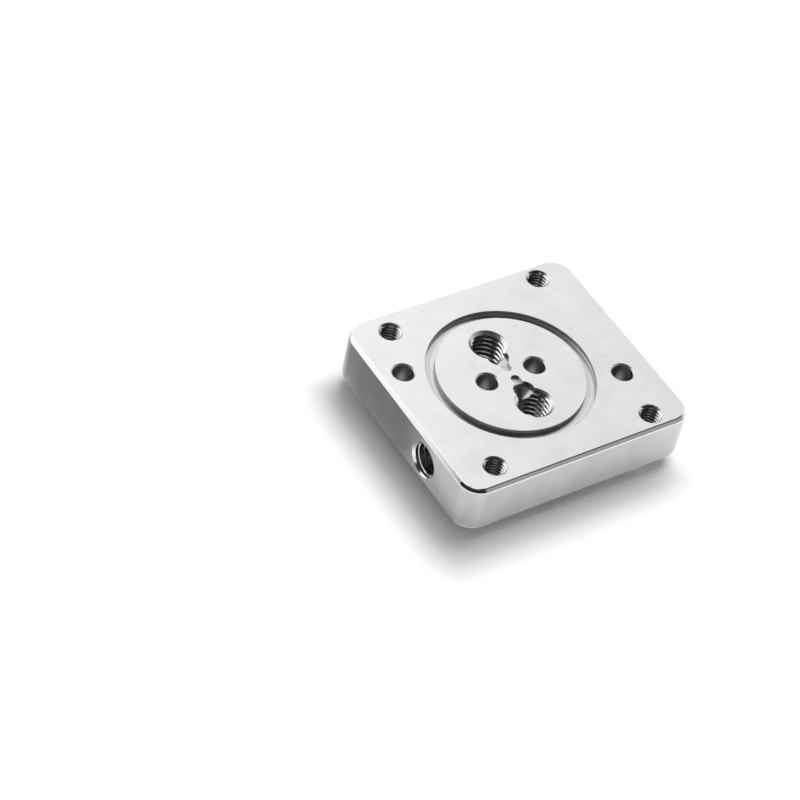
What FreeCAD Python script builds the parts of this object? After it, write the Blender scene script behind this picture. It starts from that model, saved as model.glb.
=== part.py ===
import FreeCAD, Part
import math
import os
from FreeCAD import Vector

# Port block: one aluminium plate, milled all over, with an obround boss below and an O-ring
# groove on top.  Millimetres.  +Z is up and +X runs along the long side.  The origin lies under
# the middle of the plate, on the flat end of the boss, which is the surface the block rests on.
# The port line is the line, parallel to Y, on which both flow ports stand.

# Plate
PLATE_LENGTH = 55.0
PLATE_WIDTH = 50.0
PLATE_THICKNESS = 11.6
PLATE_CORNER_RADIUS = 4.5
PLATE_CHAMFER = 0.7

# Boss on the underside, round both ports
BOSS_HEIGHT = 2.9
BOSS_WALL = 3.1
BOSS_CHAMFER = 0.25

# Flow ports, tapped M8 from the boss to the sealing face
PORT_LINE_SHIFT = -1.8
PORT_SPACING = 17.5
PORT_TAP_DRILL = 6.8
PORT_MOUTH = 8.2

# Side port, tapped M8, from the -X face into the nearer flow port
SIDE_PORT_TAP_DRILL = 6.8
SIDE_PORT_MOUTH = 8.0
SIDE_PORT_BELOW_FACE = 6.0

# O-ring groove in the sealing face
GROOVE_INNER_DIAMETER = 31.5
GROOVE_WIDTH = 2.0
GROOVE_DEPTH = 1.2

# Relief from each port mouth towards the middle of the sealing face: a drilled step, a milled tip
RELIEF_STEP_DIAMETER = 4.6
RELIEF_STEP_OFFSET = 3.8
RELIEF_STEP_DEPTH = 1.6
RELIEF_TIP_WIDTH = 2.0
RELIEF_TIP_OFFSET = 7.1
RELIEF_TIP_DEPTH = 0.7

# Screw holes, tapped M5
SCREW_TAP_DRILL = 4.2
SCREW_MOUTH = 5.2
SCREW_CROSS_RADIUS = 20.6
SCREW_BLIND_DEPTH = 8.0
NEAR_PAIR_SETBACK = 16.9
NEAR_PAIR_SPACING = 39.8
FAR_PAIR_SPACING = 42.0

# Plain locating holes in the sealing face
PIN_DIAMETER = 4.5
PIN_MOUTH = 5.1
PIN_DEPTH = 7.0
INNER_PIN_SPACING = 11.7
OUTER_PIN_NEAR_SETBACK = 20.5
OUTER_PIN_FAR_SETBACK = 21.9
OUTER_PIN_SIDE_OFFSET = 9.0

# Tools
DRILL_POINT_ANGLE = 118.0
TOOL_CLEARANCE = 1.0

# An edge lies at a height when its box comes this near to it
EDGE_MATCH = 1e-5

# Worked out from the above
FULL_TURN = 360.0
TOP = BOSS_HEIGHT + PLATE_THICKNESS
UNDERSIDE = BOSS_HEIGHT
MIDDLE = Vector(PORT_LINE_SHIFT, 0, 0)
BOSS_RADIUS = PORT_TAP_DRILL / 2 + BOSS_WALL
SIDE_FACE_X = -PLATE_LENGTH / 2
SIDE_PORT_HEIGHT = TOP - SIDE_PORT_BELOW_FACE


def revolve(profile):
    """Return the solid made by turning a closed (radius, height) outline round Z."""
    points = [Vector(radius, 0, height) for radius, height in profile]
    outline = Part.makePolygon(points + points[:1])
    return Part.Face(outline).revolve(Vector(0, 0, 0), Vector(0, 0, 1), FULL_TURN)


def point_length(radius):
    """Return the height of a drill's point."""
    return radius / math.tan(math.radians(DRILL_POINT_ANGLE / 2))


def countersink(bore, mouth):
    """Return a 90 degree countersink whose mouth lies at Z = 0 and opens upwards."""
    profile = [
        (0, TOOL_CLEARANCE),
        (mouth / 2, TOOL_CLEARANCE),
        (mouth / 2, 0),
        (bore / 2, (bore - mouth) / 2),
        (0, (bore - mouth) / 2),
    ]
    return revolve(profile)


def drilling(bore, depth):
    """Return a drilled hole down from Z = 0, with the drill's point below its full depth."""
    profile = [
        (0, TOOL_CLEARANCE),
        (bore / 2, TOOL_CLEARANCE),
        (bore / 2, -depth),
        (0, -depth - point_length(bore / 2)),
    ]
    return revolve(profile)


def blind_hole(bore, mouth, depth):
    """Return a countersunk blind hole down from Z = 0."""
    return drilling(bore, depth).fuse(countersink(bore, mouth))


def through_hole(bore, top_mouth, bottom_mouth, top, bottom):
    """Return a hole from one height to another, countersunk at both ends."""
    length = top - bottom + 2 * TOOL_CLEARANCE
    shaft = Part.makeCylinder(bore / 2, length, Vector(0, 0, bottom - TOOL_CLEARANCE))
    upper = countersink(bore, top_mouth)
    upper.translate(Vector(0, 0, top))
    lower = turned_over(countersink(bore, bottom_mouth))
    lower.translate(Vector(0, 0, bottom))
    return shaft.multiFuse([upper, lower])


def turned_over(shape):
    """Return a copy turned half round about X, so that what pointed up points down."""
    return shape.rotated(Vector(0, 0, 0), Vector(1, 0, 0), FULL_TURN / 2)


def moved(shape, x, y, z=0.0):
    """Return a copy moved by (x, y, z)."""
    return shape.translated(Vector(x, y, z))


def edges_at(shape, height):
    """Return the edges that lie flat at one height."""
    boxes = [(edge, edge.BoundBox) for edge in shape.Edges]
    return [e for e, box in boxes if abs(box.ZMin - height) + abs(box.ZMax - height) < EDGE_MATCH]


def rounded_plate():
    """Return the plate with round corners and both rims chamfered."""
    corner = Vector(-PLATE_LENGTH / 2, -PLATE_WIDTH / 2, UNDERSIDE)
    block = Part.makeBox(PLATE_LENGTH, PLATE_WIDTH, PLATE_THICKNESS, corner)
    uprights = [edge for edge in block.Edges if edge.BoundBox.ZLength > PLATE_THICKNESS / 2]
    plate = block.makeFillet(PLATE_CORNER_RADIUS, uprights)
    return plate.makeChamfer(PLATE_CHAMFER, edges_at(plate, TOP) + edges_at(plate, UNDERSIDE))


def obround(radius, first_y, last_y, bottom, height):
    """Return an upright obround whose round ends stand on the port line at two places."""
    x = PORT_LINE_SHIFT
    start = Vector(x + radius, first_y, bottom)
    finish = Vector(x + radius, last_y, bottom)
    far_start = Vector(x - radius, last_y, bottom)
    far_finish = Vector(x - radius, first_y, bottom)
    outline = [
        Part.makeLine(start, finish),
        Part.Arc(finish, Vector(x, last_y + radius, bottom), far_start).toShape(),
        Part.makeLine(far_start, far_finish),
        Part.Arc(far_finish, Vector(x, first_y - radius, bottom), start).toShape(),
    ]
    return Part.Face(Part.Wire(outline)).extrude(Vector(0, 0, height))


def boss():
    """Return the obround boss, its resting end chamfered and its root inside the plate."""
    half = PORT_SPACING / 2
    solid = obround(BOSS_RADIUS, -half, half, 0, BOSS_HEIGHT + PLATE_CHAMFER)
    return solid.makeChamfer(BOSS_CHAMFER, edges_at(solid, 0))


def port_places():
    """Return the centres of the two flow ports, the one that the side port meets first."""
    return [(PORT_LINE_SHIFT, -PORT_SPACING / 2), (PORT_LINE_SHIFT, PORT_SPACING / 2)]


def flow_ports():
    """Return the two tapped ports through the boss and the plate."""
    hole = through_hole(PORT_TAP_DRILL, PORT_MOUTH, PORT_MOUTH, TOP, 0)
    return [moved(hole, x, y) for x, y in port_places()]


def side_port():
    """Return the tapped port that runs in from the -X face to the axis of the nearer flow port."""
    x, y = port_places()[0]
    depth = x - SIDE_FACE_X
    bore = Part.makeCylinder(SIDE_PORT_TAP_DRILL / 2, depth + TOOL_CLEARANCE, Vector(0, 0, -depth))
    tool = bore.fuse(countersink(SIDE_PORT_TAP_DRILL, SIDE_PORT_MOUTH))
    tool.rotate(Vector(0, 0, 0), Vector(0, 1, 0), -FULL_TURN / 4)
    return moved(tool, SIDE_FACE_X, y, SIDE_PORT_HEIGHT)


def groove():
    """Return the ring that the O-ring groove takes out of the sealing face."""
    inner = GROOVE_INNER_DIAMETER / 2
    outer = inner + GROOVE_WIDTH
    profile = [
        (inner, TOP + TOOL_CLEARANCE),
        (outer, TOP + TOOL_CLEARANCE),
        (outer, TOP - GROOVE_DEPTH),
        (inner, TOP - GROOVE_DEPTH),
    ]
    return moved(revolve(profile), PORT_LINE_SHIFT, 0)


def stepped_relief():
    """Return the drilled step beside the first port and the milled tip that leads inwards from it."""
    x, port_y = port_places()[0]
    step_y = port_y + RELIEF_STEP_OFFSET
    tip_y = port_y + RELIEF_TIP_OFFSET
    step = drilling(RELIEF_STEP_DIAMETER, RELIEF_STEP_DEPTH)
    tip_height = RELIEF_TIP_DEPTH + TOOL_CLEARANCE
    tip = obround(RELIEF_TIP_WIDTH / 2, step_y, tip_y, TOP - RELIEF_TIP_DEPTH, tip_height)
    return [moved(step, x, step_y, TOP), tip]


def stepped_reliefs():
    """Return the relief of both ports, the second turned half round the middle."""
    first = stepped_relief()
    second = [shape.rotated(MIDDLE, Vector(0, 0, 1), FULL_TURN / 2) for shape in first]
    return first + second


def corner_screw_holes():
    """Return the four tapped holes through the plate, set out as a trapezoid."""
    hole = through_hole(SCREW_TAP_DRILL, SCREW_MOUTH, SCREW_MOUTH, TOP, UNDERSIDE)
    pairs = [(-NEAR_PAIR_SETBACK, NEAR_PAIR_SPACING), (SCREW_CROSS_RADIUS, FAR_PAIR_SPACING)]
    return [
        moved(hole, PORT_LINE_SHIFT + setback, side * spacing / 2)
        for setback, spacing in pairs
        for side in (-1, 1)
    ]


def underside_screw_holes():
    """Return the four blind tapped holes that form a cross round the boss."""
    hole = turned_over(blind_hole(SCREW_TAP_DRILL, SCREW_MOUTH, SCREW_BLIND_DEPTH))
    first = moved(hole, PORT_LINE_SHIFT + SCREW_CROSS_RADIUS, 0, UNDERSIDE)
    arms = 4
    step = FULL_TURN / arms
    return [first.rotated(MIDDLE, Vector(0, 0, 1), arm * step) for arm in range(arms)]


def pin_places():
    """Return the centres of the locating holes, the inner pair first."""
    inner = INNER_PIN_SPACING / 2
    offsets = [
        (-inner, 0),
        (inner, 0),
        (-OUTER_PIN_NEAR_SETBACK, OUTER_PIN_SIDE_OFFSET),
        (OUTER_PIN_FAR_SETBACK, -OUTER_PIN_SIDE_OFFSET),
    ]
    return [(PORT_LINE_SHIFT + x, y) for x, y in offsets]


def pin_holes():
    """Return the four blind locating holes in the sealing face."""
    hole = blind_hole(PIN_DIAMETER, PIN_MOUTH, PIN_DEPTH)
    return [moved(hole, x, y, TOP) for x, y in pin_places()]


def port_block():
    """Return the finished block."""
    blank = rounded_plate().fuse(boss())
    tools = flow_ports() + [side_port(), groove()] + stepped_reliefs()
    tools += corner_screw_holes() + underside_screw_holes() + pin_holes()
    return blank.cut(tools).Solids[0]


os.makedirs("parts", exist_ok=True)
port_block().exportStep("parts/port_block.step")
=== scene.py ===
"""Looks of a machined aluminium port block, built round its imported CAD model.

The block is one piece.  It is shaped here as in the workshop: a blank with its boss, then the
drillings, the pockets, the groove and the tapped threads are cut out of it one after another.
Lengths of the block are millimetres in the row frame, and its mesh is turned into metres last.
Lengths of the studio round it are metres.
"""
import logging
import math
from collections.abc import Iterable, Mapping, Sequence
from dataclasses import dataclass
from enum import Enum, IntEnum

import bmesh
import bpy
from mathutils import Matrix, Vector


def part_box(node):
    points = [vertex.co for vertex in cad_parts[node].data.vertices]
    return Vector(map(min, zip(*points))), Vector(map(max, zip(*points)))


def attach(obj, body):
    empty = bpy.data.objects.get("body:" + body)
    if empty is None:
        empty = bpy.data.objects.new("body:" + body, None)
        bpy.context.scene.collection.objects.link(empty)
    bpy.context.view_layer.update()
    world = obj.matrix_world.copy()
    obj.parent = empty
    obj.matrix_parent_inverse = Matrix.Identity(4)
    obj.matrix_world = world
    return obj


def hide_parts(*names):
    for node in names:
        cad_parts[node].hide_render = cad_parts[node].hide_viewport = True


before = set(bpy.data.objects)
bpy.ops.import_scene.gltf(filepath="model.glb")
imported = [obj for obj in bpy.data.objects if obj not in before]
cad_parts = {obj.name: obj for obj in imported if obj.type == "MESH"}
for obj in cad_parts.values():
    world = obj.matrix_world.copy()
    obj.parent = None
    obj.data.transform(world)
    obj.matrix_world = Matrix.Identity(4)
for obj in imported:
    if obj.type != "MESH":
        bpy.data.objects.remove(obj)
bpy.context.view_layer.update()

NODE = "port_block"
BODY = "root"
METRES = 0.001
QUARTER_TURN = math.pi / 2
HALF_TURN = math.pi
FULL_TURN = 2 * math.pi

# A face counts as level when its normal's height passes this.
LEVEL = 0.99

log = logging.getLogger("port_block")

Shape = bmesh.types.BMesh
Socket = bpy.types.NodeSocket
Profile = Sequence[tuple[float, float]]
Colour = tuple[float, float, float]

BRIGHT_ALUMINIUM: Colour = (0.77, 0.78, 0.78)
# Painted shade: a darker copy of the bare metal's colour, for the side walls and the relief.
SHADE_PAINTED_ALUMINIUM: Colour = (0.61, 0.62, 0.62)
# Painted shade: a darker copy of the bare metal's colour, for the pin bores.
PAINTED_BORE_SHADE_ALUMINIUM: Colour = (0.62, 0.625, 0.63)
WHITE = (1.0, 1.0, 1.0, 1.0)
BLACK = (0.0, 0.0, 0.0, 1.0)


class Finish(IntEnum):
    """The block's finishes, in the order of its material slots."""

    SEALING_FACE = 0
    SIDE_WALL = 1
    CHAMFER = 2
    UNDERSIDE = 3
    BOSS_END = 4
    BOSS_WALL = 5
    UPRIGHT_BORE = 6
    CROSS_BORE = 7
    THREAD = 8
    GROOVE_WALL = 9
    PIN_BORE = 10
    RELIEF = 11
    COUNTERSINK = 12
    GROOVE_FLOOR = 13


class Cut(Enum):
    """What a Boolean step does with its tool."""

    ADD = "UNION"
    REMOVE = "DIFFERENCE"


# Shaping


def dress(bm: Shape, finish: Finish) -> Shape:
    """Merge doubles, point the faces outwards and give them all one finish.

    Args:
        bm: A closed shape.
        finish: The finish that the cut leaves.

    Returns:
        The same shape.
    """
    merge_distance = 1e-4
    bmesh.ops.remove_doubles(bm, verts=bm.verts, dist=merge_distance)
    bmesh.ops.recalc_face_normals(bm, faces=bm.faces)
    for face in bm.faces:
        face.material_index = finish
    return bm


def turned(profile: Profile, steps: int, finish: Finish, ring: bool = False) -> Shape:
    """Turn an outline of (radius, height) points round the Z axis.

    Args:
        profile: The outline, from axis to axis, or all round a ring.
        steps: Flats round the full turn.
        finish: The finish that the cut leaves.
        ring: True closes the outline on itself.

    Returns:
        The turned shape.
    """
    bm = bmesh.new()
    verts = [bm.verts.new((radius, 0.0, height)) for radius, height in profile]
    ends = verts[1:] + verts[:1] if ring else verts[1:]
    edges = [bm.edges.new(pair) for pair in zip(verts, ends)]
    bmesh.ops.spin(
        bm, geom=verts + edges, cent=(0, 0, 0), axis=(0, 0, 1), angle=FULL_TURN, steps=steps, use_merge=True
    )
    return dress(bm, finish)


def obround(radius: float, ends: tuple[float, float], heights: tuple[float, float],
            steps: int, finish: Finish) -> Shape:
    """Make an upright obround whose round ends stand at two places along Y.

    Args:
        radius: Radius of the ends.
        ends: Y of the two ends' centres, the lower one first.
        heights: Lowest and highest height.
        steps: Flats round each end.
        finish: The finish that the cut leaves.

    Returns:
        The obround.
    """
    bottom, top = heights
    bm = bmesh.new()
    corners = []
    for y, side in ((ends[1], 1), (ends[0], -1)):
        start = bm.verts.new((side * radius, y, bottom))
        arc = bmesh.ops.spin(
            bm, geom=[start], cent=(0, y, bottom), axis=(0, 0, 1), angle=HALF_TURN, steps=steps
        )
        last = next(item for item in arc["geom_last"] if isinstance(item, bmesh.types.BMVert))
        corners += [start, last]
    bm.edges.new((corners[1], corners[2]))
    bm.edges.new((corners[3], corners[0]))
    bmesh.ops.edgeloop_fill(bm, edges=bm.edges)
    grown = bmesh.ops.extrude_face_region(bm, geom=bm.faces)
    moved = [item for item in grown["geom"] if isinstance(item, bmesh.types.BMVert)]
    bmesh.ops.translate(bm, verts=moved, vec=(0, 0, top - bottom))
    return dress(bm, finish)


def countersunk(bm: Shape) -> Shape:
    """Give the 90 degree cones of an upright drilling their own finish.

    Args:
        bm: The tool of the drilling.

    Returns:
        The same shape.
    """
    slope, margin = math.sin(math.radians(45)), 0.05
    for face in bm.faces:
        if abs(abs(face.normal.z) - slope) < margin:
            face.material_index = Finish.COUNTERSINK
    return bm


def placed(bm: Shape, where: Matrix) -> Shape:
    """Move a shape to its place, in millimetres, and return it."""
    bmesh.ops.transform(bm, matrix=where, verts=bm.verts)
    return bm


def at(x: float, y: float, z: float = 0.0) -> Matrix:
    """Return the matrix that moves by (x, y, z)."""
    return Matrix.Translation((x, y, z))


def bevel(bm: Shape, edges: list[bmesh.types.BMEdge], offset: float, segments: int = 1) -> None:
    """Bevel edges by one offset."""
    bmesh.ops.bevel(
        bm, geom=edges, offset=offset, offset_type="OFFSET", segments=segments,
        profile=0.5, affect="EDGES", material=-1, clamp_overlap=True,
    )


def hole_profile(bore: float, mouth: float, top: float, clearance: float) -> list[tuple[float, float]]:
    """Return the outline of a hole's countersunk mouth, from the axis above it to its wall.

    The cone goes on above the face, so that no corner of the tool lies in the face itself.

    Args:
        bore: Diameter of the wall.
        mouth: Diameter of the 90 degree countersink at the face.
        top: Height of the face.
        clearance: How far the tool stands out of the face.

    Returns:
        (radius, height) points, downwards.
    """
    return [
        (0.0, top + clearance),
        (mouth / 2 + clearance, top + clearance),
        (bore / 2, top - (mouth - bore) / 2),
    ]


@dataclass(frozen=True)
class Drill:
    """A drill with its countersink.

    Attributes:
        bore: Diameter of the wall.
        mouth: Diameter of the countersink at the face.
        steps: Flats round the hole.
        finish: The finish that it leaves.
        point_angle: Full angle of the drill's point, in degrees.
        clearance: How far the tool stands out of the face.
    """

    bore: float
    mouth: float
    steps: int = 72
    finish: Finish = Finish.UPRIGHT_BORE
    point_angle: float = 118.0
    clearance: float = 0.5

    def through(self, top: float, bottom: float) -> Shape:
        """Make the tool of a hole from one face to another, countersunk at both.

        Args:
            top: Height of the upper face.
            bottom: Height of the lower face.

        Returns:
            The tool.
        """
        down = hole_profile(self.bore, self.mouth, top, self.clearance)
        up = hole_profile(self.bore, self.mouth, -bottom, self.clearance)
        profile = down + [(radius, -height) for radius, height in reversed(up)]
        return countersunk(turned(profile, self.steps, self.finish))

    def blind(self, top: float, depth: float) -> Shape:
        """Make the tool of a hole that ends in the drill's point.

        Args:
            top: Height of the face.
            depth: From the face to the point's shoulder.

        Returns:
            The tool.
        """
        point = self.bore / 2 / math.tan(math.radians(self.point_angle / 2))
        profile = hole_profile(self.bore, self.mouth, top, self.clearance)
        profile += [(self.bore / 2, top - depth), (0.0, top - depth - point)]
        return countersunk(turned(profile, self.steps, self.finish))


@dataclass(frozen=True)
class Thread:
    """A metric thread, cut outwards from its tap drill.

    Attributes:
        drill: Tap drill diameter.
        outer: Diameter at the bottom of the thread groove.
        pitch: Rise of one turn.
        steps: Flats round one turn.
        flank_angle: Angle of a flank to the axis' normal, in degrees.
        overlap: How far the tool reaches inside the drilled wall.
        lead: Angle at which the groove starts, so that its flats don't meet those of the wall.
    """

    drill: float
    outer: float
    pitch: float
    steps: int = 48
    flank_angle: float = 30.0
    overlap: float = 0.12
    lead: float = 0.023

    def coil(self, bottom: float, top: float) -> Shape:
        """Make the tool that cuts the groove of the thread.

        Args:
            bottom: Height at which the groove starts.
            top: Height that it reaches.

        Returns:
            One closed right-hand coil about the Z axis.
        """
        flat = self.pitch / 8
        inner = self.drill / 2 - self.overlap
        outer = self.outer / 2
        base = flat + 2 * (outer - inner) * math.tan(math.radians(self.flank_angle))
        bm = bmesh.new()
        corners = [(inner, -base / 2), (outer, -flat / 2), (outer, flat / 2), (inner, base / 2)]
        start = bm.faces.new([bm.verts.new((radius, 0.0, bottom + height)) for radius, height in corners])
        turns = (top - bottom) / self.pitch
        steps = round(turns * self.steps)
        bmesh.ops.spin(
            bm, geom=[start, *start.edges, *start.verts], cent=(0, 0, 0), axis=(0, 0, 1),
            dvec=(0, 0, self.pitch / self.steps), angle=FULL_TURN * steps / self.steps,
            steps=steps, use_merge=False,
        )
        return placed(dress(bm, Finish.THREAD), Matrix.Rotation(self.lead, 4, "Z"))


M8_THREAD = Thread(drill=6.8, outer=8.0, pitch=1.25)
M5_THREAD = Thread(drill=4.2, outer=5.0, pitch=0.8, steps=36, overlap=0.08)


@dataclass(frozen=True)
class Step:
    """One Boolean step of the block's making."""

    name: str
    cut: Cut
    tools: list[Shape]


# Sub-assemblies


@dataclass
class Plate:
    """The plate, with round corners and both rims chamfered.

    Attributes:
        length: Along X.
        width: Along Y.
        bottom: Height of the underside.
        top: Height of the sealing face.
        corner_radius: Radius of the upright corners.
        chamfer: Leg of the rims' chamfers.
        edge_break: Leg of the tiny flats that deburring leaves beside the chamfers.
        corner_steps: Flats round each corner.
    """

    length: float
    width: float
    bottom: float
    top: float
    corner_radius: float = 4.5
    chamfer: float = 0.7
    edge_break: float = 0.12
    corner_steps: int = 24

    def blank(self) -> Shape:
        """Make the plate.

        Returns:
            A closed shape with its finishes.
        """
        bm = bmesh.new()
        bmesh.ops.create_cube(bm, size=1.0)
        bmesh.ops.scale(bm, verts=bm.verts, vec=(self.length, self.width, self.top - self.bottom))
        bmesh.ops.translate(bm, verts=bm.verts, vec=(0, 0, (self.top + self.bottom) / 2))
        uprights = [e for e in bm.edges if abs(e.verts[0].co.z - e.verts[1].co.z) > self.corner_radius]
        square, slanting = 60, 30
        bevel(bm, uprights, self.corner_radius, self.corner_steps)
        bevel(bm, self.edges_over(bm, square), self.chamfer)
        bevel(bm, self.edges_over(bm, slanting), self.edge_break)
        dress(bm, Finish.CHAMFER)
        for face in bm.faces:
            face.material_index = self.finish_of(face)
        return bm

    @staticmethod
    def edges_over(bm: Shape, degrees: float) -> list[bmesh.types.BMEdge]:
        """Return the edges at which the surface turns by more than an angle."""
        return [edge for edge in bm.edges if edge.calc_face_angle(0.0) > math.radians(degrees)]

    @staticmethod
    def finish_of(face: bmesh.types.BMFace) -> Finish:
        """Choose the finish of one of the plate's outer faces.

        Args:
            face: The face.

        Returns:
            Its finish.
        """
        upward = face.normal.z
        if upward > LEVEL:
            return Finish.SEALING_FACE
        if upward < -LEVEL:
            return Finish.UNDERSIDE
        return Finish.SIDE_WALL if abs(upward) < 1 - LEVEL else Finish.CHAMFER


@dataclass
class Boss:
    """The obround boss that carries both ports on the underside.

    Attributes:
        line_x: X of the line on which the ports stand.
        port_spacing: Distance between the ports.
        radius: Radius of the round ends.
        height: From its flat end to the underside.
        chamfer: Leg of the chamfer at the flat end.
        root: How far it reaches into the plate.
        steps: Flats round each end.
    """

    line_x: float
    port_spacing: float
    radius: float = 6.5
    height: float = 2.9
    chamfer: float = 0.25
    root: float = 0.5
    steps: int = 48

    def blank(self) -> Shape:
        """Make the boss.

        Returns:
            A closed shape with its finishes.
        """
        half = self.port_spacing / 2
        bm = obround(self.radius, (-half, half), (0.0, self.height + self.root), self.steps, Finish.BOSS_WALL)
        bevel(bm, [e for e in bm.edges if max(v.co.z for v in e.verts) < self.chamfer / 2], self.chamfer)
        bmesh.ops.recalc_face_normals(bm, faces=bm.faces)
        for face in bm.faces:
            if face.normal.z < -LEVEL:
                face.material_index = Finish.BOSS_END
            elif face.normal.z < LEVEL - 1:
                face.material_index = Finish.CHAMFER
            else:
                face.material_index = Finish.BOSS_WALL
        return placed(bm, at(self.line_x, 0))


@dataclass
class FlowPorts:
    """The two tapped ports through boss and plate, each with its stepped relief.

    Attributes:
        line_x: X of the line on which the ports stand.
        spacing: Distance between the ports.
        top: Height of the sealing face.
        drill: Tap drill and countersink.
        step_drill: Drill of the relief's step.
        step_offset: From the port's axis to the step's.
        step_depth: Depth of the step to its shoulder.
        tip_width: Width of the relief's milled tip.
        tip_offset: From the port's axis to the tip's round end.
        tip_depth: Depth of the tip.
        tip_steps: Flats round each of the tip's ends.
    """

    line_x: float
    spacing: float
    top: float
    drill: Drill = Drill(bore=6.8, mouth=8.2, steps=96)
    step_drill: Drill = Drill(bore=4.6, mouth=4.7, finish=Finish.RELIEF)
    step_offset: float = 3.8
    step_depth: float = 1.6
    tip_width: float = 2.0
    tip_offset: float = 7.1
    tip_depth: float = 0.7
    tip_steps: int = 24

    def sides(self) -> list[Matrix]:
        """Return the frames of the block's two halves, the second turned half round."""
        return [at(self.line_x, 0), at(self.line_x, 0) @ Matrix.Rotation(HALF_TURN, 4, "Z")]

    def places(self, offset: float = 0.0) -> list[Matrix]:
        """Return the frames that stand off the two ports' axes towards the middle."""
        return [side @ at(0, offset - self.spacing / 2) for side in self.sides()]

    def bores(self) -> list[Shape]:
        """Return the tools of both ports."""
        return [placed(self.drill.through(self.top, 0.0), place) for place in self.places()]

    def relief_steps(self) -> list[Shape]:
        """Return the tools of the drilled steps."""
        places = self.places(self.step_offset)
        return [placed(self.step_drill.blind(self.top, self.step_depth), place) for place in places]

    def relief_tips(self) -> list[Shape]:
        """Make the tools of the milled tips.

        Returns:
            The two tools.
        """
        port_y = -self.spacing / 2
        ends = (port_y + self.step_offset, port_y + self.tip_offset)
        heights = (self.top - self.tip_depth, self.top + self.drill.clearance)
        radius = self.tip_width / 2
        tools = [obround(radius, ends, heights, self.tip_steps, Finish.RELIEF) for _ in self.sides()]
        return [placed(tool, side) for tool, side in zip(tools, self.sides())]

    def threads(self) -> list[Shape]:
        """Return the coils of both ports' threads."""
        reach = M8_THREAD.pitch
        return [placed(M8_THREAD.coil(-reach, self.top + reach), place) for place in self.places()]


@dataclass
class SidePort:
    """The tapped port from the -X face into the nearer flow port.

    Attributes:
        face_x: X of the face.
        axis_y: Y of the port's axis.
        axis_z: Height of the port's axis.
        end_x: X at which the drilling ends.
        thread_depth: How far the tap went in.
        drill: Tap drill and countersink.
        lead: Turn of the tool about its axis, so that its flats don't meet those of the flow port.
    """

    face_x: float
    axis_y: float
    axis_z: float
    end_x: float
    thread_depth: float = 15.0
    drill: Drill = Drill(bore=6.8, mouth=8.0, steps=96, finish=Finish.CROSS_BORE)
    lead: float = 0.011

    def place(self) -> Matrix:
        """Return the port's own frame, whose Z axis points out of the face."""
        out = at(self.face_x, self.axis_y, self.axis_z) @ Matrix.Rotation(-QUARTER_TURN, 4, "Y")
        return out @ Matrix.Rotation(self.lead, 4, "Z")

    def bore(self) -> Shape:
        """Make the tool of the drilling.

        Returns:
            The tool, which ends flat on the flow port's axis.
        """
        profile = hole_profile(self.drill.bore, self.drill.mouth, 0.0, self.drill.clearance)
        depth = self.end_x - self.face_x
        profile += [(self.drill.bore / 2, -depth), (0.0, -depth)]
        return placed(turned(profile, self.drill.steps, self.drill.finish), self.place())

    def thread(self) -> Shape:
        """Return the coil of the thread."""
        return placed(M8_THREAD.coil(-self.thread_depth, M8_THREAD.pitch), self.place())


@dataclass
class RingGroove:
    """The O-ring groove round both ports.

    Attributes:
        line_x: X of its centre.
        top: Height of the sealing face.
        inner_diameter: Diameter of its inner wall.
        width: From wall to wall.
        depth: Below the sealing face.
        edge_break: Leg of the tiny flats at its rims.
        steps: Flats round the ring.
    """

    line_x: float
    top: float
    inner_diameter: float = 31.5
    width: float = 2.0
    depth: float = 1.2
    edge_break: float = 0.06
    steps: int = 192

    def ring(self) -> Shape:
        """Make the tool of the groove.

        Returns:
            A closed ring whose sides flare above the sealing face.
        """
        inner = self.inner_diameter / 2
        outer = inner + self.width
        floor = self.top - self.depth
        shoulder = self.top - self.edge_break
        flare = self.width / 4
        above = shoulder + flare
        profile = [
            (inner - flare, above), (inner, shoulder), (inner, floor),
            (outer, floor), (outer, shoulder), (outer + flare, above),
        ]
        tool = turned(profile, self.steps, Finish.GROOVE_WALL, ring=True)
        for face in tool.faces:
            if face.normal.z < -LEVEL:
                face.material_index = Finish.GROOVE_FLOOR
        return placed(tool, at(self.line_x, 0))


@dataclass
class ScrewHoles:
    """The tapped screw holes: four through the plate's corners, four blind round the boss.

    Attributes:
        line_x: X of the port line.
        top: Height of the sealing face.
        bottom: Height of the underside.
        drill: Tap drill and countersink.
        cross_radius: From the middle to each blind hole.
        blind_depth: Drilled depth of the blind holes.
        near_setback: From the port line to the pair by the side port.
        near_spacing: Between the two of that pair.
        far_spacing: Between the two of the other pair.
        runout: Untapped length above a blind hole's drill point.
    """

    line_x: float
    top: float
    bottom: float
    drill: Drill = Drill(bore=4.2, mouth=5.2)
    cross_radius: float = 20.6
    blind_depth: float = 8.0
    near_setback: float = 16.9
    near_spacing: float = 39.8
    far_spacing: float = 42.0
    runout: float = 1.2

    def corners(self) -> list[Matrix]:
        """Return the places of the through holes."""
        pairs = [(-self.near_setback, self.near_spacing), (self.cross_radius, self.far_spacing)]
        return [at(self.line_x + x, side * spacing / 2) for x, spacing in pairs for side in (-1, 1)]

    def cross(self) -> list[Matrix]:
        """Find the places of the blind holes.

        Returns:
            Their own frames, on the underside and pointing down.
        """
        middle = at(self.line_x, 0, self.bottom)
        over = Matrix.Rotation(HALF_TURN, 4, "X")
        turns = [Matrix.Rotation(QUARTER_TURN * arm, 4, "Z") for arm in range(4)]
        return [middle @ turn @ at(self.cross_radius, 0) @ over for turn in turns]

    def bores(self) -> list[Shape]:
        """Return the tools of all eight holes."""
        through = [placed(self.drill.through(self.top, self.bottom), place) for place in self.corners()]
        return through + [placed(self.drill.blind(0.0, self.blind_depth), place) for place in self.cross()]

    def threads(self) -> list[Shape]:
        """Make the coils of all eight threads.

        Returns:
            The coils, those of the through holes first.
        """
        reach = M5_THREAD.pitch
        low, high = self.bottom - reach, self.top + reach
        through = [placed(M5_THREAD.coil(low, high), place) for place in self.corners()]
        start = self.runout - self.blind_depth
        return through + [placed(M5_THREAD.coil(start, reach), place) for place in self.cross()]


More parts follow.
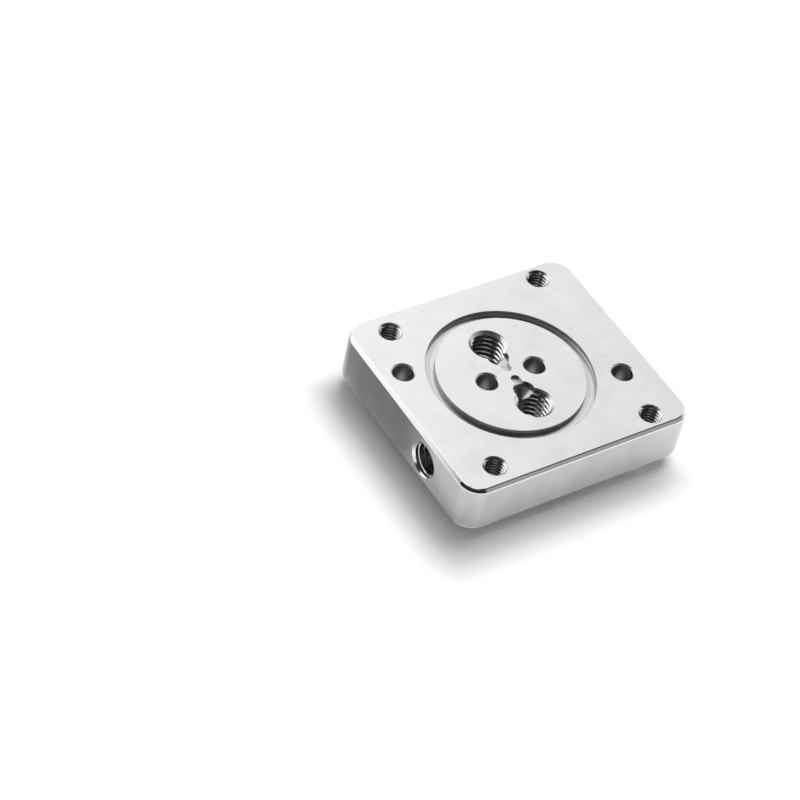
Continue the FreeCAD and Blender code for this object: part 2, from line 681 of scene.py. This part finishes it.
@dataclass
class PinHoles:
    """The plain locating holes in the sealing face.

    Attributes:
        line_x: X of the port line.
        top: Height of the sealing face.
        drill: Bore and countersink.
        depth: Drilled depth.
        inner_spacing: Between the two inside the groove.
        near_setback: From the port line to the outer one by the side port.
        far_setback: From the port line to the other outer one.
        side_offset: Of the outer ones from the block's middle line.
    """

    line_x: float
    top: float
    drill: Drill = Drill(bore=4.5, mouth=5.1, finish=Finish.PIN_BORE)
    depth: float = 7.0
    inner_spacing: float = 11.7
    near_setback: float = 20.5
    far_setback: float = 21.9
    side_offset: float = 9.0

    def bores(self) -> list[Shape]:
        """Make the tools of all four holes.

        Returns:
            The tools, those of the inner holes first.
        """
        inner = self.inner_spacing / 2
        places = [
            (-inner, 0.0), (inner, 0.0),
            (-self.near_setback, self.side_offset), (self.far_setback, -self.side_offset),
        ]
        return [placed(self.drill.blind(self.top, self.depth), at(self.line_x + x, y)) for x, y in places]


# Shader building


class Graph:
    """Adds nodes to one node tree and wires them by name."""

    def __init__(self, tree: bpy.types.NodeTree) -> None:
        """Start on an empty tree."""
        self.tree = tree
        tree.nodes.clear()

    def add(self, kind: str, settings: dict[str, object] | None = None,
            inputs: dict[str | int, object] | None = None) -> bpy.types.Node:
        """Add a node.

        Args:
            kind: The node's class name.
            settings: Values of its properties.
            inputs: Per socket, a plain value or another node's output socket.

        Returns:
            The node.
        """
        node = self.tree.nodes.new(kind)
        for name, value in (settings or {}).items():
            setattr(node, name, value)
        for name, value in (inputs or {}).items():
            if isinstance(value, Socket):
                self.tree.links.new(value, node.inputs[name])
            else:
                node.inputs[name].default_value = value
        return node

    def math(self, operation: str, first: object, second: object = 0.0) -> Socket:
        """Return the result of a Math node."""
        return self.add("ShaderNodeMath", {"operation": operation}, {0: first, 1: second}).outputs[0]

    def remap(self, value: object, span: tuple[float, float], result: tuple[float, float]) -> Socket:
        """Return a value moved from one span to another and held there."""
        names = ("From Min", "From Max", "To Min", "To Max")
        inputs = {"Value": value, **dict(zip(names, (*span, *result)))}
        return self.add("ShaderNodeMapRange", {"clamp": True}, inputs).outputs["Result"]

    def noise(self, vector: object, scale: object, detail: float, roughness: float = 0.5) -> Socket:
        """Return a three-dimensional noise from 0 to 1."""
        inputs = {"Vector": vector, "Scale": scale, "Detail": detail, "Roughness": roughness}
        return self.add("ShaderNodeTexNoise", {"noise_dimensions": "3D"}, inputs).outputs["Fac"]

    def combine(self, x: object, y: object, z: object = 0.0) -> Socket:
        """Return a vector made of three values."""
        return self.add("ShaderNodeCombineXYZ", None, {"X": x, "Y": y, "Z": z}).outputs["Vector"]

    def split(self, vector: object) -> tuple[Socket, ...]:
        """Return the three values of a vector."""
        parts = self.add("ShaderNodeSeparateXYZ", None, {"Vector": vector})
        return tuple(parts.outputs[axis] for axis in "XYZ")

    def length(self, x: object, y: object) -> Socket:
        """Return the length of a flat vector."""
        square = self.math("ADD", self.math("MULTIPLY", x, x), self.math("MULTIPLY", y, y))
        return self.math("SQRT", square)

    def tinted(self, colour: Colour, share: object) -> Socket:
        """Mix a colour with black.

        Args:
            colour: The colour.
            share: How much of it is kept.

        Returns:
            The mixed colour.
        """
        # A Mix node's sockets have the same names for numbers, vectors and colours.
        first, second, result = 6, 7, 2
        inputs = {"Factor": share, first: BLACK, second: (*colour, 1.0)}
        return self.add("ShaderNodeMix", {"data_type": "RGBA"}, inputs).outputs[result]

    def group(self, tree: bpy.types.NodeTree, inputs: dict[str, object]) -> Mapping[str, Socket]:
        """Place a node group and return its outputs."""
        return self.add("ShaderNodeGroup", {"node_tree": tree}, inputs).outputs

    def give(self, results: dict[str, Socket]) -> bpy.types.NodeTree:
        """Send values out of a node group.

        Args:
            results: Per output, the socket that feeds it.

        Returns:
            The finished group.
        """
        for title in results:
            self.tree.interface.new_socket(name=title, in_out="OUTPUT", socket_type="NodeSocketFloat")
        self.add("NodeGroupOutput", None, results)
        return self.tree


def new_group(name: str, defaults: dict[str, float],
              vector: bool = False) -> tuple[Graph, Mapping[str, Socket]]:
    """Start a node group with named inputs.

    Args:
        name: The group's name.
        defaults: Per input that is a number, its default.
        vector: True adds an input named Vector.

    Returns:
        The graph to fill and its inputs by name.
    """
    tree = bpy.data.node_groups.new(name, "ShaderNodeTree")
    graph = Graph(tree)
    if vector:
        tree.interface.new_socket(name="Vector", in_out="INPUT", socket_type="NodeSocketVector")
    for title, default in defaults.items():
        socket = tree.interface.new_socket(name=title, in_out="INPUT", socket_type="NodeSocketFloat")
        socket.default_value = default
    return graph, graph.add("NodeGroupInput").outputs


def new_material(name: str) -> tuple[bpy.types.Material, Graph]:
    """Start a material.

    Args:
        name: Its name.

    Returns:
        The material and its empty graph.
    """
    material = bpy.data.materials.new(name)
    material.use_nodes = True
    return material, Graph(material.node_tree)


class SurfaceGroups:
    """The effects that several finishes share, each built once as a node group."""

    def __init__(self) -> None:
        """Build all groups."""
        self.marks = self.tool_marks()
        self.arcs = self.tool_arcs()
        self.cloud = self.cloudiness()
        self.specks = self.dust_specks()
        self.passes = self.mill_passes()

    @staticmethod
    def tool_marks() -> bpy.types.NodeTree:
        """Fine and broad lines along a tool's path.

        Returns:
            A group from a position across and one along the path to a height and a shade.
        """
        graph, given = new_group(
            "tool_marks", {"Across": 0.0, "Along": 0.0, "Fine Pitch": 0.1, "Broad Pitch": 1.0, "Length": 10.0}
        )
        along = graph.math("DIVIDE", given["Along"], given["Length"])
        other_layer = 3.7
        fine = graph.combine(graph.math("DIVIDE", given["Across"], given["Fine Pitch"]), along)
        broad = graph.combine(graph.math("DIVIDE", given["Across"], given["Broad Pitch"]), along, other_layer)
        return graph.give({"Height": graph.noise(fine, 1.0, 1.0), "Shade": graph.noise(broad, 1.0, 2.0)})

    @staticmethod
    def tool_arcs() -> bpy.types.NodeTree:
        """Position across and along circles round an upright axis.

        Returns:
            A group from a point and the axis' place to a radius and an arc length.
        """
        graph, given = new_group("tool_arcs", {"Centre X": 0.0, "Centre Y": 0.0}, vector=True)
        x, y, _ = graph.split(given["Vector"])
        x = graph.math("SUBTRACT", x, given["Centre X"])
        y = graph.math("SUBTRACT", y, given["Centre Y"])
        radius = graph.length(x, y)
        arc = graph.math("MULTIPLY", graph.math("ARCTAN2", y, x), radius)
        return graph.give({"Radius": radius, "Arc": arc})

    @staticmethod
    def cloudiness() -> bpy.types.NodeTree:
        """Soft uneven patches: in the colour they are painted patches of light and reflection, and they also
        vary the roughness.

        Returns:
            A group from a point and a size to a shade from 0 to 1.
        """
        graph, given = new_group("cloudiness", {"Size": 6.0}, vector=True)
        noise = graph.noise(given["Vector"], graph.math("DIVIDE", 1.0, given["Size"]), 3.0, 0.55)
        middle_of_noise = (0.3, 0.7)
        return graph.give({"Shade": graph.remap(noise, middle_of_noise, (0.0, 1.0))})

    @staticmethod
    def dust_specks() -> bpy.types.NodeTree:
        """Sparse tiny dark specks.

        Returns:
            A group from a point, a spacing and a size to a mask that is 1 in a speck.
        """
        graph, given = new_group("dust_specks", {"Spacing": 4.0, "Size": 0.1}, vector=True)
        scale = graph.math("DIVIDE", 1.0, given["Spacing"])
        spread = {"Vector": given["Vector"], "Scale": scale}
        cells = graph.add("ShaderNodeTexVoronoi", {"feature": "F1"}, spread)
        reach = graph.math("DIVIDE", given["Size"], given["Spacing"])
        size = graph.math("MULTIPLY", reach, cells.outputs["Color"])
        return graph.give({"Mask": graph.math("LESS_THAN", cells.outputs["Distance"], size)})

    @staticmethod
    def mill_passes() -> bpy.types.NodeTree:
        """Bands that an end mill leaves side by side, each with one shade.

        Returns:
            A group from a position across and a band's width to a shade from 0 to 1.
        """
        graph, given = new_group("mill_passes", {"Across": 0.0, "Width": 4.0})
        band = graph.math("FLOOR", graph.math("DIVIDE", given["Across"], given["Width"]))
        shade = graph.add("ShaderNodeTexWhiteNoise", {"noise_dimensions": "1D"}, {"W": band})
        return graph.give({"Shade": shade.outputs["Value"]})


class Path(Enum):
    """How a finish's tool marks run."""

    FLY_CUT = "fly cut"
    RINGS_Z = "rings round an upright axis"
    RINGS_X = "rings round a lying axis"
    RIM = "along a rim"
    WALL = "up a side wall"
    CONCENTRIC = "rings round the groove's axis"
    CONTOUR = "along the boss's contour"


@dataclass(frozen=True)
class MachinedFinish:
    """Bare aluminium as one tool leaves it.

    Attributes:
        name: The material's name.
        path: How the tool marks run.
        colour: Base colour.
        roughness: Between marks.
        roughness_spread: How much the marks and patches change it.
        fine_pitch: Spacing of the fine lines.
        broad_pitch: Spacing of the broad lines.
        length: How long a mark stays the same.
        bump: Height of the fine lines, in millimetres.
        wave: Height of the broad lines, in millimetres.
        shade_spread: How much the broad lines and the painted light patches darken the colour.
        line_shade: How much the fine lines darken it.
        speck_shade: How much a speck darkens it.
        pass_width: Width of the bands that the mill left, or 0 where there are none.
        pass_shade: How much the darkest band is darkened.
        half_spacing: Half the distance between the round ends of the contour that is followed.
        centre: Where the arcs or rings are centred, in X and Y.
        patch_span: The part of the broad noise that is spread out.
        line_span: The part of the fine noise that makes a line's edge.
    """

    name: str
    path: Path
    colour: Colour = BRIGHT_ALUMINIUM
    roughness: float = 0.25
    roughness_spread: float = 0.06
    fine_pitch: float = 0.08
    broad_pitch: float = 0.9
    length: float = 12.0
    bump: float = 0.002
    wave: float = 0.001
    shade_spread: float = 0.05
    line_shade: float = 0.0
    speck_shade: float = 0.5
    pass_width: float = 0.0
    pass_shade: float = 0.0
    half_spacing: float = 0.0
    centre: tuple[float, float] = (0.0, 0.0)
    patch_span: tuple[float, float] = (0.2, 0.8)
    line_span: tuple[float, float] = (0.42, 0.58)

    def across_and_along(self, graph: Graph, groups: SurfaceGroups, point: Socket) -> tuple[Socket, Socket]:
        """Find where a point lies on the tool's path, in millimetres.

        Args:
            graph: The material's graph.
            groups: The shared node groups.
            point: The point.

        Returns:
            Its coordinates across and along the path.
        """
        x, y, z = graph.split(point)
        if self.path in (Path.FLY_CUT, Path.CONCENTRIC):
            centre = {"Centre X": self.centre[0], "Centre Y": self.centre[1]}
            arcs = graph.group(groups.arcs, {"Vector": point, **centre})
            radius, arc = arcs["Radius"], arcs["Arc"]
            return (graph.math("ADD", radius, z) if self.path is Path.CONCENTRIC else radius), arc
        if self.path is Path.RINGS_X:
            return x, graph.math("ADD", y, z)
        if self.path is Path.WALL:
            return graph.math("ADD", x, y), z
        if self.path is Path.CONTOUR:
            over = graph.math("SUBTRACT", graph.math("ABSOLUTE", y), self.half_spacing)
            aside = graph.math("SUBTRACT", x, self.centre[0])
            return graph.length(graph.math("MAXIMUM", over, 0.0), aside), graph.math("ADD", x, y)
        return z, graph.math("ADD", x, y)

    def darkening(self, graph: Graph, groups: SurfaceGroups, across: Socket, lines: Socket) -> list[Socket]:
        """List what the lines and the mill's bands take off the colour.

        Args:
            graph: The material's graph.
            groups: The shared node groups.
            across: The point's coordinate across the tool's path.
            lines: Height of the fine lines.

        Returns:
            Shares of the colour, from 0 to 1.
        """
        darker = [graph.remap(lines, self.line_span, (self.line_shade, 0.0))]
        if self.pass_width:
            bands = graph.group(groups.passes, {"Across": across, "Width": self.pass_width})
            darker.append(graph.math("MULTIPLY", bands["Shade"], self.pass_shade))
        return darker

    def build(self, groups: SurfaceGroups) -> bpy.types.Material:
        """Make the material.

        Args:
            groups: The shared node groups.

        Returns:
            The material.
        """
        material, graph = new_material(self.name)
        place = graph.add("ShaderNodeTexCoord").outputs["Object"]
        millimetres = {"Vector": place, "Scale": (1 / METRES,) * 3}
        point = graph.add("ShaderNodeMapping", {"vector_type": "POINT"}, millimetres).outputs["Vector"]
        across, along = self.across_and_along(graph, groups, point)
        marks = graph.group(groups.marks, {
            "Across": across, "Along": along, "Fine Pitch": self.fine_pitch,
            "Broad Pitch": self.broad_pitch, "Length": self.length,
        })
        cloud = graph.group(groups.cloud, {"Vector": point})["Shade"]
        specks = graph.group(groups.specks, {"Vector": point})["Mask"]
        patches = graph.math("MULTIPLY", graph.math("ADD", marks["Shade"], cloud), 0.5)
        low, high = self.roughness - self.roughness_spread, self.roughness + self.roughness_spread
        # Painted light: the cloud's patches darken the colour as patches of light and reflection would.
        share = graph.remap(patches, self.patch_span, (1 - self.shade_spread, 1.0))
        for darker in self.darkening(graph, groups, across, marks["Height"]):
            share = graph.math("MULTIPLY", share, graph.math("SUBTRACT", 1.0, darker))
        share = graph.math("SUBTRACT", share, graph.math("MULTIPLY", specks, self.speck_shade))
        height = graph.math("ADD", graph.math("MULTIPLY", marks["Height"], self.bump * METRES),
                            graph.math("MULTIPLY", marks["Shade"], self.wave * METRES))
        bump = graph.add("ShaderNodeBump", None, {"Height": height, "Strength": 1.0, "Distance": 1.0})
        shader = graph.add("ShaderNodeBsdfPrincipled", None, {
            "Base Color": graph.tinted(self.colour, share), "Metallic": 1.0,
            "Roughness": graph.remap(patches, self.patch_span, (low, high)), "Normal": bump.outputs["Normal"],
        })
        graph.add("ShaderNodeOutputMaterial", None, {"Surface": shader.outputs["BSDF"]})
        return material


# The block


@dataclass
class PortBlock:
    """The whole block.

    Attributes:
        line_shift: X of the port line.
        port_spacing: Distance between the flow ports.
        boss_height: Height of the boss.
        side_port_below_face: From the sealing face down to the side port's axis.
        sharp_angle: Edges steeper than this, in degrees, stay sharp.
        face_cut: Centre of the arcs that the cutter left on the sealing face, in X and Y.
        boss_cut: How far beside the boss the arcs on its end are centred.
    """

    line_shift: float = -1.8
    port_spacing: float = 17.5
    boss_height: float = 2.9
    side_port_below_face: float = 6.0
    sharp_angle: float = 10.8
    face_cut: tuple[float, float] = (-30.0, 170.0)
    boss_cut: float = 60.0

    def finishes(self) -> list[MachinedFinish]:
        """List the finishes.

        Returns:
            One finish for each slot, in slot order.
        """
        middle = (self.line_shift, 0.0)
        return [
            # The sealing face's larger shade_spread paints patches of reflection into its colour.
            MachinedFinish("sealing_face", Path.FLY_CUT, roughness=0.30, broad_pitch=1.2, length=7.0,
                           bump=0.0015, shade_spread=0.12, centre=self.face_cut),
            # The side walls' darker colour is painted shade.
            MachinedFinish("side_wall", Path.WALL, colour=SHADE_PAINTED_ALUMINIUM, roughness=0.40, broad_pitch=0.35,
                           bump=0.003, length=0.8, shade_spread=0.16),
            MachinedFinish("chamfer", Path.RIM, roughness=0.14, roughness_spread=0.03, bump=0.001),
            MachinedFinish("underside", Path.CONTOUR, broad_pitch=2.5, half_spacing=self.port_spacing / 2,
                           pass_width=4.5, pass_shade=0.22, centre=middle),
            MachinedFinish("boss_end", Path.FLY_CUT, roughness=0.2, broad_pitch=1.0,
                           centre=(self.line_shift, self.boss_cut)),
            MachinedFinish("boss_wall", Path.RIM, roughness=0.2),
            MachinedFinish("upright_bore", Path.RINGS_Z, roughness=0.16, roughness_spread=0.04, bump=0.004),
            MachinedFinish("cross_bore", Path.RINGS_X, roughness=0.16, roughness_spread=0.04, bump=0.004),
            MachinedFinish("thread", Path.RINGS_Z, roughness=0.14, roughness_spread=0.04, bump=0.0008),
            MachinedFinish("groove_wall", Path.RINGS_Z, roughness=0.50, roughness_spread=0.10, bump=0.02,
                           fine_pitch=0.22, broad_pitch=0.5, wave=0.01, length=60.0, line_shade=0.60),
            # The pin bores' darker colour is painted shade.
            MachinedFinish("pin_bore", Path.RINGS_Z, colour=PAINTED_BORE_SHADE_ALUMINIUM, roughness=0.30, bump=0.0015,
                           length=40.0),
            # The relief's darker colour is painted shade.
            MachinedFinish("relief", Path.RINGS_Z, colour=SHADE_PAINTED_ALUMINIUM, roughness=0.28,
                           roughness_spread=0.08, bump=0.02, fine_pitch=0.3, length=0.6, shade_spread=0.2),
            MachinedFinish("countersink", Path.RINGS_Z, roughness=0.34, roughness_spread=0.08, bump=0.004),
            # The groove floor's darkened fine lines are concentric tool marks and partly a painted reflection
            # of the groove wall's lines.
            MachinedFinish("groove_floor", Path.CONCENTRIC, roughness=0.26, roughness_spread=0.05, bump=0.006,
                           fine_pitch=0.22, broad_pitch=0.6, length=60.0, line_shade=0.32, centre=middle),
        ]

    def steps(self) -> tuple[Shape, list[Step]]:
        """Make the blank and all tools.

        Returns:
            The plate's blank and the steps that finish it.
        """
        low, high = (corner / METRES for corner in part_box(NODE))
        top = high.z
        plate = Plate(high.x - low.x, high.y - low.y, self.boss_height, top)
        boss = Boss(self.line_shift, self.port_spacing, height=self.boss_height)
        ports = FlowPorts(self.line_shift, self.port_spacing, top)
        side = SidePort(low.x, -self.port_spacing / 2, top - self.side_port_below_face, self.line_shift)
        screws = ScrewHoles(self.line_shift, top, self.boss_height)
        pins = PinHoles(self.line_shift, top)
        groove = RingGroove(self.line_shift, top)
        return plate.blank(), [
            Step("boss", Cut.ADD, [boss.blank()]),
            Step("drillings", Cut.REMOVE, ports.bores() + screws.bores() + pins.bores() + [groove.ring()]),
            Step("side_port", Cut.REMOVE, [side.bore()] + ports.relief_steps()),
            Step("relief_tips", Cut.REMOVE, ports.relief_tips()),
            Step("threads", Cut.REMOVE, ports.threads() + screws.threads()),
            Step("side_thread", Cut.REMOVE, [side.thread()]),
        ]

    def build(self) -> bpy.types.Object:
        """Shape and dress the block.

        Returns:
            The finished object, riding on the root body.
        """
        groups = SurfaceGroups()
        materials = [finish.build(groups) for finish in self.finishes()]
        blank, steps = self.steps()
        block = object_of([blank], "machined_block", materials)
        tools = []
        for step in steps:
            tool = object_of(step.tools, f"tool_{step.name}", materials)
            modifier = block.modifiers.new(step.name, "BOOLEAN")
            modifier.operation = step.cut.value
            modifier.solver = "EXACT"
            modifier.object = tool
            modifier.material_mode = "INDEX"
            tools.append(tool)
        settle(block)
        for tool in tools:
            bpy.data.objects.remove(tool)
        block.data.transform(Matrix.Scale(METRES, 4))
        block.data.set_sharp_from_angle(angle=math.radians(self.sharp_angle))
        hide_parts(NODE)
        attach(block, BODY)
        return block


def new_object(name: str, data: bpy.types.ID) -> bpy.types.Object:
    """Put a new object into the scene.

    Args:
        name: Its name.
        data: Its mesh, lamp or camera.

    Returns:
        The object.
    """
    made = bpy.data.objects.new(name, data)
    bpy.context.scene.collection.objects.link(made)
    return made


def object_of(shapes: Iterable[Shape], name: str, materials: list[bpy.types.Material]) -> bpy.types.Object:
    """Join shapes into one object.

    Args:
        shapes: The shapes, which are freed.
        name: The object's name.
        materials: Its material slots.

    Returns:
        The object, at the origin.
    """
    whole = bmesh.new()
    for shape in shapes:
        part = bpy.data.meshes.new("part")
        shape.to_mesh(part)
        shape.free()
        whole.from_mesh(part)
        bpy.data.meshes.remove(part)
    mesh = bpy.data.meshes.new(name)
    for face in whole.faces:
        face.smooth = True
    whole.to_mesh(mesh)
    whole.free()
    for material in materials:
        mesh.materials.append(material)
    return new_object(name, mesh)


def settle(piece: bpy.types.Object) -> None:
    """Apply a piece's modifiers to its mesh.

    Args:
        piece: The piece.
    """
    graph = bpy.context.evaluated_depsgraph_get()
    graph.update()
    mesh = bpy.data.meshes.new_from_object(piece.evaluated_get(graph))
    piece.modifiers.clear()
    piece.data = mesh


# Studio


def seen(graph: Graph) -> Socket:
    """Tell rays that see a surface from those that light others by it.

    Args:
        graph: The graph of a material or of the world.

    Returns:
        1 for camera, glossy and transmission rays, and otherwise 0.
    """
    rays = graph.add("ShaderNodeLightPath")
    straight = graph.math("MAXIMUM", rays.outputs["Is Camera Ray"], rays.outputs["Is Glossy Ray"])
    return graph.math("MAXIMUM", straight, rays.outputs["Is Transmission Ray"])


def staged(bm: Shape, name: str, material: bpy.types.Material) -> bpy.types.Object:
    """Put a shape into the scene as a part of the studio.

    Args:
        bm: The shape, in metres, which is freed.
        name: The object's name.
        material: Its material.

    Returns:
        The staged object.
    """
    mesh = bpy.data.meshes.new(name)
    bm.to_mesh(mesh)
    bm.free()
    mesh.materials.append(material)
    made = new_object(name, mesh)
    return made


def hang(bm: Shape, name: str, brightness: float) -> None:
    """Stage a card of one even brightness that shows in reflections alone.

    Args:
        bm: Its shape, in metres, which is freed.
        name: Its name.
        brightness: How bright it shows, where 1 is white.
    """
    material, graph = new_material(name)
    glow = graph.add("ShaderNodeEmission", None, {"Color": WHITE, "Strength": brightness})
    graph.add("ShaderNodeOutputMaterial", None, {"Surface": glow.outputs[0]})
    card = staged(bm, name, material)
    card.visible_camera = False
    card.visible_diffuse = False
    card.visible_shadow = False


@dataclass(frozen=True)
class Card:
    """A dark or bright card in the dome round the block, which shows in the metal alone.

    Attributes:
        name: Its name.
        first: Azimuth from +X at which it starts, in degrees.
        last: Azimuth at which it ends.
        low: Elevation of its lower edge.
        high: Elevation of its upper edge.
        brightness: How bright it shows, where 1 is white.
        radius: Of the dome, in metres.
        steps: Flats along each of its sides.
    """

    name: str
    first: float
    last: float
    low: float
    high: float
    brightness: float
    radius: float = 0.8
    steps: int = 24

    def build(self) -> None:
        """Hang the card."""
        bm = bmesh.new()
        start = math.radians(self.low)
        vert = bm.verts.new((self.radius * math.cos(start), 0.0, self.radius * math.sin(start)))
        rise = math.radians(self.high - self.low)
        bmesh.ops.spin(bm, geom=[vert], cent=(0, 0, 0), axis=(0, -1, 0), angle=rise, steps=self.steps)
        bmesh.ops.rotate(bm, verts=bm.verts, matrix=Matrix.Rotation(math.radians(self.first), 3, "Z"))
        bmesh.ops.spin(
            bm, geom=[*bm.verts, *bm.edges], cent=(0, 0, 0), axis=(0, 0, 1),
            angle=math.radians(self.last - self.first), steps=self.steps,
        )
        hang(bm, self.name, self.brightness)


def studio_cards() -> list[Card]:
    """List the cards of the dome.

    Returns:
        The dark cards on the camera's side, the bright one behind the block and one below it.
    """
    black, grey, bright = 0.025, 0.42, 1.28
    return [
        Card("card_by_camera", first=150, last=285, low=20, high=80, brightness=black),
        Card("card_over_right", first=285, last=370, low=36, high=80, brightness=black),
        Card("card_right", first=285, last=340, low=12, high=36, brightness=grey),
        Card("card_behind", first=48, last=149, low=12, high=75, brightness=bright),
        Card("card_below", first=20, last=170, low=-70, high=-25, brightness=grey),
    ]


@dataclass(frozen=True)
class SideCard:
    """A grey card that lies beside the block and darkens the wall with the side port.

    Attributes:
        length: Along Y, in metres, from the block's middle line backwards.
        width: Along X, in metres.
        gap: From the wall to the card, in metres.
        lift: Height above the floor, in metres.
        brightness: How bright it shows.
    """

    length: float = 0.060
    width: float = 0.040
    gap: float = 0.003
    lift: float = 0.0005
    brightness: float = 0.24

    def build(self) -> None:
        """Lay the card."""
        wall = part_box(NODE)[0].x
        centre = (wall - self.gap - self.width / 2, self.length / 2, self.lift)
        bm = bmesh.new()
        bmesh.ops.create_grid(bm, x_segments=1, y_segments=1, size=0.5)
        bmesh.ops.scale(bm, verts=bm.verts, vec=(self.width, self.length, 1.0))
        bmesh.ops.translate(bm, verts=bm.verts, vec=centre)
        hang(bm, "side_card", self.brightness)


@dataclass(frozen=True)
class Floor:
    """The pale floor, which is see-through from below.

    Attributes:
        radius: In metres.
        steps: Flats round it.
        paint: Its colour.
        height: Just under the block's lowest face.
        lift: Strength of the glow that whitens it, left out near the block to paint a shadow there.
        lift_to: Distance from that painted shadow's edge at which the glow is complete.
        shade_shift: How far the painted shadow is moved from the block's own outline, in X and Y.
    """

    radius: float = 1.5
    steps: int = 96
    paint: Colour = (0.95, 0.95, 0.95)
    height: float = -0.00002
    lift: float = 0.35
    lift_to: float = 0.012
    shade_shift: tuple[float, float] = (-0.003, -0.004)

    def build(self) -> None:
        """Lay the floor."""
        bm = bmesh.new()
        bmesh.ops.create_circle(bm, cap_ends=True, radius=self.radius, segments=self.steps)
        bmesh.ops.translate(bm, verts=bm.verts, vec=(0, 0, self.height))
        material, graph = new_material("pale_floor")
        # Painted shadow: the glow fades out towards the block's outline, moved by shade_shift, so a painted
        # shadow lies round the block on top of the lamp's own.
        away = self.distance_outside(graph, self.shade_shift)
        ramp = graph.remap(away, (0.0, self.lift_to), (0.0, self.lift))
        lifted = graph.math("MULTIPLY", seen(graph), ramp)
        glow = graph.add("ShaderNodeEmission", None, {"Color": WHITE, "Strength": lifted})
        paint = graph.add("ShaderNodeBsdfDiffuse", None, {"Color": (*self.paint, 1.0)})
        both = graph.add("ShaderNodeAddShader", None, {0: paint.outputs["BSDF"], 1: glow.outputs["Emission"]})
        clear = graph.add("ShaderNodeBsdfTransparent")
        layers = {0: self.see_through(graph), 1: both.outputs[0], 2: clear.outputs[0]}
        mixed = graph.add("ShaderNodeMixShader", None, layers)
        graph.add("ShaderNodeOutputMaterial", None, {"Surface": mixed.outputs[0]})
        staged(bm, "floor", material)

    @staticmethod
    def distance_outside(graph: Graph, shift: tuple[float, float]) -> Socket:
        """Measure how far a floor point lies outside the block's outline.

        Args:
            graph: The floor's graph.
            shift: How far the outline is moved, in X and Y.

        Returns:
            The distance, in metres.
        """
        place = graph.add("ShaderNodeTexCoord").outputs["Object"]
        beyond = []
        for along, reach, offset in zip(graph.split(place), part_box(NODE)[1], shift):
            aside = graph.math("ABSOLUTE", graph.math("SUBTRACT", along, offset))
            beyond.append(graph.math("MAXIMUM", graph.math("SUBTRACT", aside, reach), 0.0))
        distance = graph.add("ShaderNodeVectorMath", {"operation": "LENGTH"}, {0: graph.combine(*beyond)})
        return distance.outputs["Value"]

    def see_through(self, graph: Graph) -> Socket:
        """Find where the floor is clear.

        Args:
            graph: The floor's graph.

        Returns:
            1 from below, and where the underside reflects the floor that it stands on.
        """
        under = graph.math("LESS_THAN", self.distance_outside(graph, (0.0, 0.0)), abs(self.height))
        rays = graph.add("ShaderNodeLightPath").outputs
        second_bounce = 1.5
        early = graph.math("LESS_THAN", rays["Ray Depth"], second_bounce)
        first = graph.math("MULTIPLY", rays["Is Glossy Ray"], early)
        below = graph.add("ShaderNodeNewGeometry").outputs["Backfacing"]
        return graph.math("MAXIMUM", below, graph.math("MULTIPLY", under, first))


@dataclass(frozen=True)
class SoftBox:
    """The soft lamp behind the block, which lights the floor.

    Attributes:
        width: In metres.
        height: In metres.
        distance: From the block, in metres.
        azimuth: From +X, in degrees.
        elevation: Above the floor, in degrees.
        brightness: Brightness of its face, where 1 is white.
    """

    width: float = 0.7
    height: float = 0.7
    distance: float = 1.0
    azimuth: float = 32.0
    elevation: float = 65.0
    brightness: float = 4.9

    def build(self) -> None:
        """Hang the lamp."""
        lamp = bpy.data.lights.new("soft_box", "AREA")
        lamp.shape = "RECTANGLE"
        lamp.size, lamp.size_y = self.width, self.height
        lamp.energy = self.brightness * math.pi * self.width * self.height
        box = new_object("soft_box", lamp)
        azimuth, elevation = math.radians(self.azimuth), math.radians(self.elevation)
        level = math.cos(elevation)
        away = Vector((math.cos(azimuth) * level, math.sin(azimuth) * level, math.sin(elevation)))
        box.location = away * self.distance
        box.rotation_euler = (-away).to_track_quat("-Z", "Y").to_euler()
        box.visible_glossy = False


@dataclass(frozen=True)
class Surroundings:
    """The white studio all round.

    Attributes:
        fill: Strength as a light.
        background: Strength as it is seen.
    """

    fill: float = 0.36
    background: float = 1.0

    def build(self) -> None:
        """Make the world."""
        world = bpy.data.worlds.new("white_studio")
        world.use_nodes = True
        graph = Graph(world.node_tree)
        strength = graph.remap(seen(graph), (0.0, 1.0), (self.fill, self.background))
        background = graph.add("ShaderNodeBackground", None, {"Color": WHITE, "Strength": strength})
        graph.add("ShaderNodeOutputWorld", None, {"Surface": background.outputs["Background"]})
        bpy.context.scene.world = world


@dataclass(frozen=True)
class Viewpoint:
    """Where the camera stands.

    Attributes:
        target: The point that it looks at, in millimetres.
        azimuth: Round the block from -Y towards +X, in degrees.
        elevation: Above the floor, in degrees.
        roll: Turn about its own axis, in degrees.
        distance: To the target, in millimetres.
        lens: Focal length.
        sensor: Width of the sensor.
    """

    target: tuple[float, float, float] = (-22.37, 8.04, 7.25)
    azimuth: float = -40.885
    elevation: float = 45.954
    roll: float = 12.89
    distance: float = 529.89
    lens: float = 117.33
    sensor: float = 36.0

    def build(self) -> None:
        """Set up the camera."""
        data = bpy.data.cameras.new("camera")
        data.lens = self.lens
        data.sensor_width = self.sensor
        camera = new_object("camera", data)
        camera.matrix_world = self.matrix()
        bpy.context.scene.camera = camera

    def matrix(self) -> Matrix:
        """Work out the camera's place and direction.

        Returns:
            Its matrix, in metres.
        """
        turn = Matrix.Rotation(math.radians(self.azimuth), 4, "Z")
        tilt = Matrix.Rotation(math.radians(90 - self.elevation), 4, "X")
        roll = Matrix.Rotation(math.radians(self.roll), 4, "Z")
        back = at(0, 0, self.distance * METRES)
        return Matrix.Translation(Vector(self.target) * METRES) @ turn @ tilt @ roll @ back


def main() -> None:
    """Build the block and its studio."""
    logging.basicConfig(level=logging.INFO)
    block = PortBlock().build()
    log.info("%s: %d faces", block.name, len(block.data.polygons))
    for item in (Surroundings(), Floor(), *studio_cards(), SideCard(), SoftBox(), Viewpoint()):
        item.build()
    bpy.context.scene.view_settings.view_transform = "Standard"


if __name__ == "__main__":
    main()
